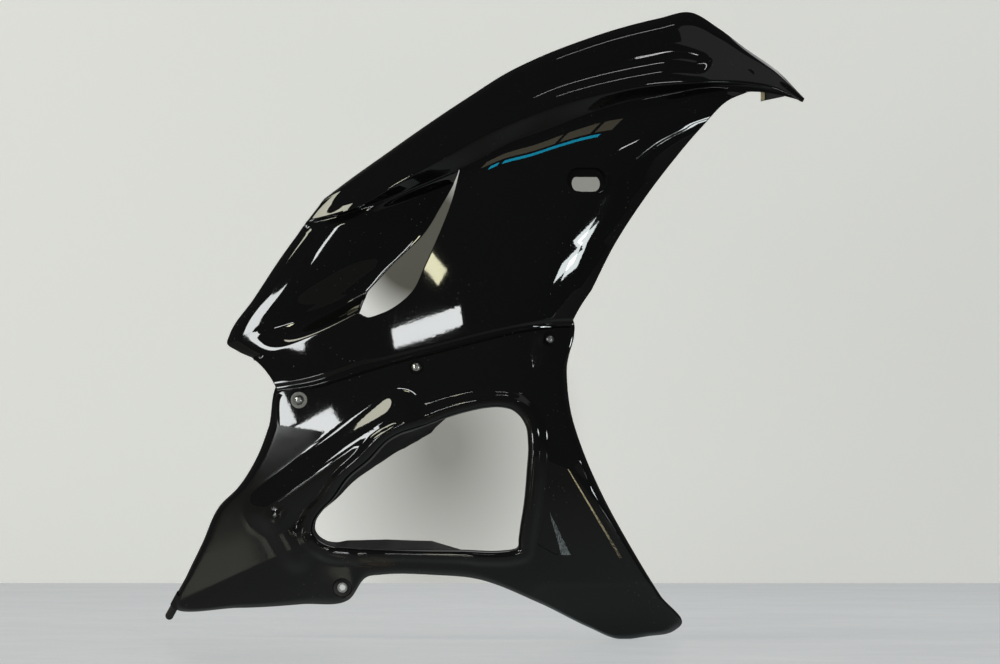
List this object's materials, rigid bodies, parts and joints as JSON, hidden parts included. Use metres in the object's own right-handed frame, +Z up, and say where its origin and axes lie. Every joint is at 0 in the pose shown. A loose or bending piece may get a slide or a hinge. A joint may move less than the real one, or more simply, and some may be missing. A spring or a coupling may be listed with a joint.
{
  "type": "motorcycle side cover",
  "caption": "Right-hand side fairing cover for a motorcycle: screwed gloss mouldings with an engine window, an air outlet and a lamp pocket.",
  "frame": {"origin": "centre of the mouth of the lower fixing collar, on its axis", "axes": "+X forward along the machine, +Y inward to the machine's middle, +Z up; the visible face looks towards -Y"},
  "size_m": [0.7089, 0.2036, 0.6914],
  "materials": {
    "upper_gloss": "high gloss",
    "lower_gloss": "high gloss",
    "trim_matte": "fine texture",
    "bracket_matte": "fine texture",
    "foam": "open foam",
    "screw_steel": "zinc plated",
    "ring_steel": "zinc plated",
    "clip_steel": "zinc plated",
    "grommet_rubber": "dull",
    "collar_steel": "zinc plated",
    "peg_rubber": "dull",
    "rivet_plastic": "dull"
  },
  "bodies": {
    "root": {"upper_panel": "upper_gloss", "lower_panel": "lower_gloss", "inner_trim": "trim_matte", "tip_bracket": "bracket_matte", "tip_foam": "foam", "front_screw": "screw_steel", "middle_screw": "screw_steel", "rear_screw": "screw_steel", "rear_ring": "ring_steel", "front_clip_nut": "clip_steel", "middle_clip_nut": "clip_steel", "rear_clip_nut": "clip_steel", "lower_grommet": "grommet_rubber", "lower_collar": "collar_steel", "locating_peg": "peg_rubber", "trim_rivet_top": "rivet_plastic", "trim_rivet_rear": "rivet_plastic", "trim_rivet_bottom": "rivet_plastic", "tip_rivet": "rivet_plastic"}
  },
  "joints": []
}
